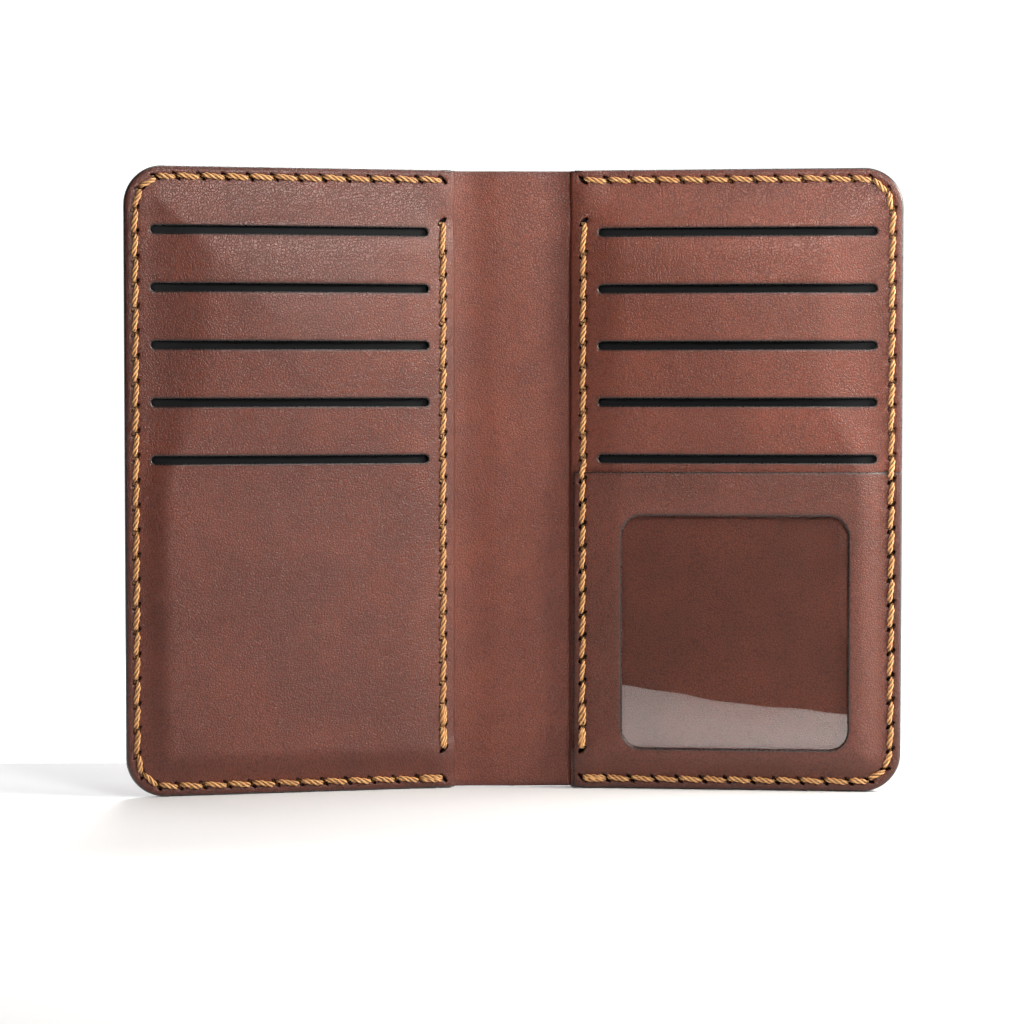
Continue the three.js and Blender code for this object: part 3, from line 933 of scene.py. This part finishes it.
# -------------------------------- thread
def cord_tubes(side, line, radius, phase):
    """One stitch as plies twisted together, as a dict of its points, faces and attributes.

    line is the stitch's path in the side's frame, as x, z and depth."""
    length = lengths_along(line)[-1]
    count = max(8, int(length * RINGS_PER_MM))
    at = np.linspace(0, length, count)
    core = place(side, *points_at(line, at).T) / MM
    along = np.gradient(core, axis=0)
    along /= np.linalg.norm(along, axis=1)[:, None]
    chord = core[-1] - core[0]
    out = np.cross(chord, np.cross(place(side, 0, 0, 1) - place(side, 0, 0, 0), chord))
    across = np.cross(chord, out)
    across /= np.linalg.norm(across)
    lift = np.cross(np.tile(across, (count, 1)), along)
    lift /= np.linalg.norm(lift, axis=1)[:, None]
    taper = 0.50 + 0.50 * smooth(np.minimum(at, 1.15 * (length - at)), 1.5, 3.3)
    ply = radius / (1 + PLY_CENTRE) * taper
    around = PLY_SIDES
    spin = 2 * math.pi * np.arange(around) / around
    points, faces, fibre, sunk = [], [], [], []
    for p in range(THREAD_PLIES):
        turn = phase + 2 * math.pi * (p / THREAD_PLIES + at / THREAD_PITCH)
        away = across * np.cos(turn)[:, None] - lift * np.sin(turn)[:, None]
        centre = core + away * (PLY_CENTRE * ply)[:, None]
        base = p * count * around
        for k in range(around):
            spoke = across * math.cos(spin[k]) + lift * math.sin(spin[k])
            points.append(centre + spoke * ply[:, None])
            fibre.append(np.column_stack([
                np.full(count, 3.0 * math.cos(spin[k]) + 9 * p + 5 * phase),
                np.full(count, 3.0 * math.sin(spin[k])),
                0.5 * at,
            ]))
            # sunk is the share of painted shade: the inner side of a ply, where it faces the other plies.
            sunk.append(0.8 * (1 - smooth((spoke * away).sum(1), -0.35, 0.45)))
            after = (k + 1) % around
            for i in range(count - 1):
                a, b = base + k * count + i, base + after * count + i
                faces.append([a, b, b + 1, a + 1])
        faces.append([base + k * count for k in range(around)][::-1])
        faces.append([base + k * count + count - 1 for k in range(around)])
    return {
        "points": np.concatenate(points), "faces": faces,
        "fibre": np.concatenate(fibre), "sunk": np.concatenate(sunk),
    }


def stitch_line(side, start, stop, face, shift, slant, height):
    """Path of one stitch: out of its hole, across the face leaning to its right, and into the next hole.

    height is positive on the front and negative on the back. Both ends go right through the leather."""
    run = stop - start
    length = np.linalg.norm(run)
    ahead = run / length
    right = right_of(ahead, side) * np.sign(height)
    near = np.array([0.4, 0.5, 0.7, 1.15, 1.9, 2.8]) / length
    share = np.r_[near, 1 - near[::-1]]
    end = -1.9 * np.sign(height)
    rise = np.array([-0.9, 0.05, 0.62, 0.95, 1.05]) * height
    level = np.r_[end, rise, rise[::-1], end]
    lean = (2 * smooth(share, -0.1, 1.1) - 1) * slant + shift
    spots = start + run * share[:, None] + right * lean[:, None]
    return np.column_stack([spots, face(spots[:, 0], spots[:, 1]) + level])


def make_thread(side, name, node, rows):
    """All the stitches of one seam as one piece. Each row is (holes, face, height, doubled stitches)."""
    parts = {"points": [], "fibre": [], "sunk": [], "tone": []}
    faces = []
    offset = 0
    for holes, face, height, doubled in rows:
        for i in range(len(holes) - 1):
            twice = i in doubled
            slant = DOUBLE_SLANT if twice else SLANT
            for shift in ((-DOUBLE_SHIFT, DOUBLE_SHIFT) if twice else (0.0,)):
                line = stitch_line(side, holes[i], holes[i + 1], face, shift, slant, height)
                line[2:-2, :2] += rng.normal(0, 0.04, 2)
                stitch = cord_tubes(side, line, THREAD * rng.uniform(0.95, 1.05), rng.uniform(0, 6.28))
                total = len(stitch["points"])
                faces += [[corner + offset for corner in corners] for corners in stitch["faces"]]
                for key in ("points", "fibre", "sunk"):
                    parts[key].append(stitch[key])
                parts["tone"].append(np.full(total, rng.uniform(0, 1)))
                offset += total
    points = np.concatenate(parts.pop("points")) * MM
    thread = mesh_object(name, points, faces, False, THREAD_GOLD, sharp=80)
    add_attributes(thread, **{key: np.concatenate(values) for key, values in parts.items()})
    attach(thread, side.body)
    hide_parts(node)


def sewn_face(side):
    """The front that the thread lies on: the inner panel, or the ID pocket over it."""
    def face(x, z):
        x, z = np.asarray(x, float), np.asarray(z, float)
        bare = panel_face(x, z)
        if not side.has_pocket:
            return bare
        low = np.minimum(z, POCKET_TOP)
        over = 1 - smooth(z, POCKET_TOP - 0.3, POCKET_TOP + 1.4)
        return bare + (pocket_face(x, low) - panel_face(x, low)) * over
    return face


def cover_back(x, z):
    return cover_front(x, z) - cover_thickness(x, z)


def panel_back(x, z):
    return panel_face(x, z) - panel_thickness(x, z)


def make_threads(side):
    front = sewn_face(side)
    last = len(EDGE_HOLES) - 2
    make_thread(side, f"edge_seam_{side.name}", f"seam_thread_{side.name}_outer",
                [(EDGE_HOLES, front, 0.5, (last,)), (EDGE_HOLES, cover_back, -0.5, ())])
    last = len(HEM_HOLES) - 2
    make_thread(side, f"hem_seam_{side.name}", f"seam_thread_{side.name}_inner",
                [(HEM_HOLES, front, 0.5, (last - 1, last)), (HEM_HOLES, panel_back, -0.35, ())])


# -------------------------------- cloth
def cloth_mesh(name, side, x, z, depth, rest, thickness, flip):
    """An open grid of cloth in a side's frame, made thin by Solidify."""
    rows, wide = x.shape
    faces = [
        [r * wide + c, r * wide + c + 1, (r + 1) * wide + c + 1, (r + 1) * wide + c]
        for r in range(rows - 1) for c in range(wide - 1)
    ]
    cloth = mesh_object(name, place(side, x, z, depth).reshape(-1, 3), faces, flip, CLOTH)
    add_attributes(cloth, rest=np.stack(rest, axis=-1).reshape(-1, 3))
    thick = cloth.modifiers.new("thickness", "SOLIDIFY")
    thick.thickness = thickness * MM
    thick.offset = 0
    return cloth


def behind_panel(x, z, share):
    """A depth between the lining and the back of the panel."""
    low = COVER_HALF + 0.45
    high = panel_face(x, z) - panel_thickness(x, z) - 0.15
    return low + (high - low) * share


def make_pouch(side, index):
    """A folded cloth envelope: back ply from above the slot, down, and up again in front of it."""
    top = slot_height(index) + POUCH_TAB
    foot = slot_height(index) - POUCH_DEPTH
    mouth = slot_height(index) - SLOT_WIDTH / 2 - 1.2
    xs = np.linspace(SLOT_START - POUCH_MARGIN, SLOT_START + SLOT_LENGTH + POUCH_MARGIN, 40)
    back = np.linspace(top, foot, 22)
    front = np.linspace(foot, mouth, 20)
    heights = np.concatenate([back, front])
    ply = np.concatenate([np.zeros(len(back)), np.full(len(front), 0.09)])
    length = np.r_[0, np.cumsum(np.abs(np.diff(heights)))]
    x, z = np.meshgrid(xs, heights)
    tilt = 0.08 + 0.76 * np.clip((z - foot) / (top - foot), 0, 1)
    depth = behind_panel(x, z, tilt + ply[:, None])
    rest = (x, np.zeros_like(x), np.broadcast_to(length[:, None], x.shape))
    pouch = cloth_mesh(
        f"pouch_{side.name}_{index + 1}", side, x, z, depth, rest, POUCH_THICKNESS, side.sign > 0
    )
    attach(pouch, side.body)
    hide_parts(f"card_pouch_{side.name}_{index + 1}")


def make_lining(side):
    """Black cloth glued over the inside of the cover."""
    xs = np.linspace(HEM + 1.5, OUTER_EDGE - LINING_BORDER, 40)
    zs = np.linspace(LINING_BORDER, HEIGHT - LINING_BORDER, 60)
    x, z = np.meshgrid(xs, zs)
    depth = COVER_HALF + 0.15 + 0.05 * np.sin(z / 13.0)
    lining = cloth_mesh(
        f"lining_cloth_{side.name}", side, x, z, depth, (x, depth, z), LINING_THICKNESS, side.sign < 0
    )
    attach(lining, side.body)
    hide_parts(f"lining_{side.name}")


# -------------------------------- floor, light and camera
def paper(name, colour, glow):
    """White paper. glow is light of its own, like an overexposed backdrop's."""
    r = Recipe(name)
    grain = r.noise(r.node("TexCoord").outputs["Object"], 3.0, 2.0)
    shade = r.mix(grain, tuple(0.985 * v for v in colour) + (1,), tuple(colour) + (1,))
    shader = r.node("BsdfPrincipled", None, Base_Color=shade, Roughness=0.75)
    shader.inputs["Emission Color"].default_value = (1, 1, 1, 1)
    shader.inputs["Emission Strength"].default_value = glow
    return r.finish(shader)


def sweep(name, profile, half, material):
    """A sheet of paper pulled along X from a profile of (y, z)."""
    points = [(x, y, z) for y, z in profile for x in (-half, half)]
    faces = [[2 * i, 2 * i + 1, 2 * i + 3, 2 * i + 2] for i in range(len(profile) - 1)]
    mesh_object(name, points, faces, False, material)


def make_stage():
    """A white table that ends just behind the wallet, and a paper backdrop beyond it."""
    sweep("table", [(-0.40, 0.0), (0.065, 0.0)], 2.2, paper("table_white", (0.66, 0.66, 0.665), 0.0))
    rise = [(1.0 + 0.6 * math.sin(a), 0.599 - 0.6 * math.cos(a)) for a in np.radians(np.linspace(0, 90, 16))]
    backdrop = paper("backdrop_white", (0.82, 0.825, 0.84), 0.75)
    sweep("backdrop", [(0.05, -0.001), *rise, (1.6, 2.2)], 2.2, backdrop)


def hang_light(name, data, spot, aim):
    """Puts a light at a spot and turns it to its aim."""
    light = bpy.data.objects.new(name, data)
    light.location = spot
    light.rotation_euler = (Vector(aim) - Vector(spot)).to_track_quat("-Z", "Y").to_euler()
    bpy.context.scene.collection.objects.link(light)


def area_light(name, spot, aim, width, height, power, colour=(1, 1, 1)):
    data = bpy.data.lights.new(name, "AREA")
    data.shape = "RECTANGLE"
    data.size, data.size_y = width, height
    data.energy = power
    data.color = colour
    hang_light(name, data, spot, aim)


def rear_light(spot, aim, power):
    """A soft spot from behind that fills the shadow on the table."""
    data = bpy.data.lights.new("rear", "SPOT")
    data.spot_size = math.radians(52)
    data.spot_blend = 0.8
    data.shadow_soft_size = 0.15
    data.energy = power
    hang_light("rear", data, spot, aim)


def make_light():
    area_light("front", (0.14, -0.41, 0.33), (0, 0, 0.15), 0.12, 0.12, 1.8, (1, 0.99, 0.97))
    area_light("key", (0.50, -0.20, 0.38), (0, 0, 0.1), 0.22, 0.22, 5.6, (1, 0.95, 0.89))
    area_light("top", (0.05, 0.10, 0.90), (0, 0, 0.08), 1.0, 0.3, 3.0)
    area_light("rim", (0.70, 0.03, 0.24), (0.05, 0, 0.1), 0.20, 0.6, 3.5)
    rear_light((-0.05, 0.55, 0.95), (-0.12, 0.16, 0.0), 32)


def make_sky():
    """A dim sky, with a darker room in front of the wallet for the film to reflect."""
    world = bpy.data.worlds.new("studio")
    bpy.context.scene.world = world
    world.use_nodes = True
    r = Nodes(world.node_tree)
    direction = r.node("SeparateXYZ", None, i0=r.node("TexCoord").outputs["Generated"]).outputs
    ahead = r.ramp(direction[1], -0.55, -0.8)
    above_table = r.ramp(direction[2], -0.14, -0.12)
    below_lamps = r.ramp(direction[2], 0.45, 0.25)
    dark_room = r.math("MULTIPLY", r.math("MULTIPLY", ahead, above_table), below_lamps)
    background = r.tree.nodes["Background"]
    background.inputs["Strength"].default_value = 1.0
    r.feed(background.inputs["Color"], r.mix(dark_room, (0.04, 0.04, 0.04, 1), (0.015, 0.015, 0.016, 1)))


def make_camera():
    """A long lens a metre away, a little above the middle of the wallet and turned slightly down."""
    data = bpy.data.cameras.new("camera")
    data.lens = 109.54
    data.sensor_width = 36
    data.clip_start = 0.05
    camera = bpy.data.objects.new("camera", data)
    camera.location = (-0.0177, -1.0, 0.1303)
    camera.rotation_euler = (math.radians(90 - 2.389), 0, math.radians(-1.013))
    bpy.context.scene.collection.objects.link(camera)
    bpy.context.scene.camera = camera


make_camera()
make_stage()
make_light()
make_sky()
bpy.context.scene.view_settings.view_transform = "Standard"
for side in SIDES:
    make_cover(side)
    make_panel(side)
    make_edge_coat(side)
    make_threads(side)
    make_lining(side)
    for index in range(SLOT_COUNT):
        make_pouch(side, index)
    if side.has_pocket:
        make_pocket(side)
        make_film(side)
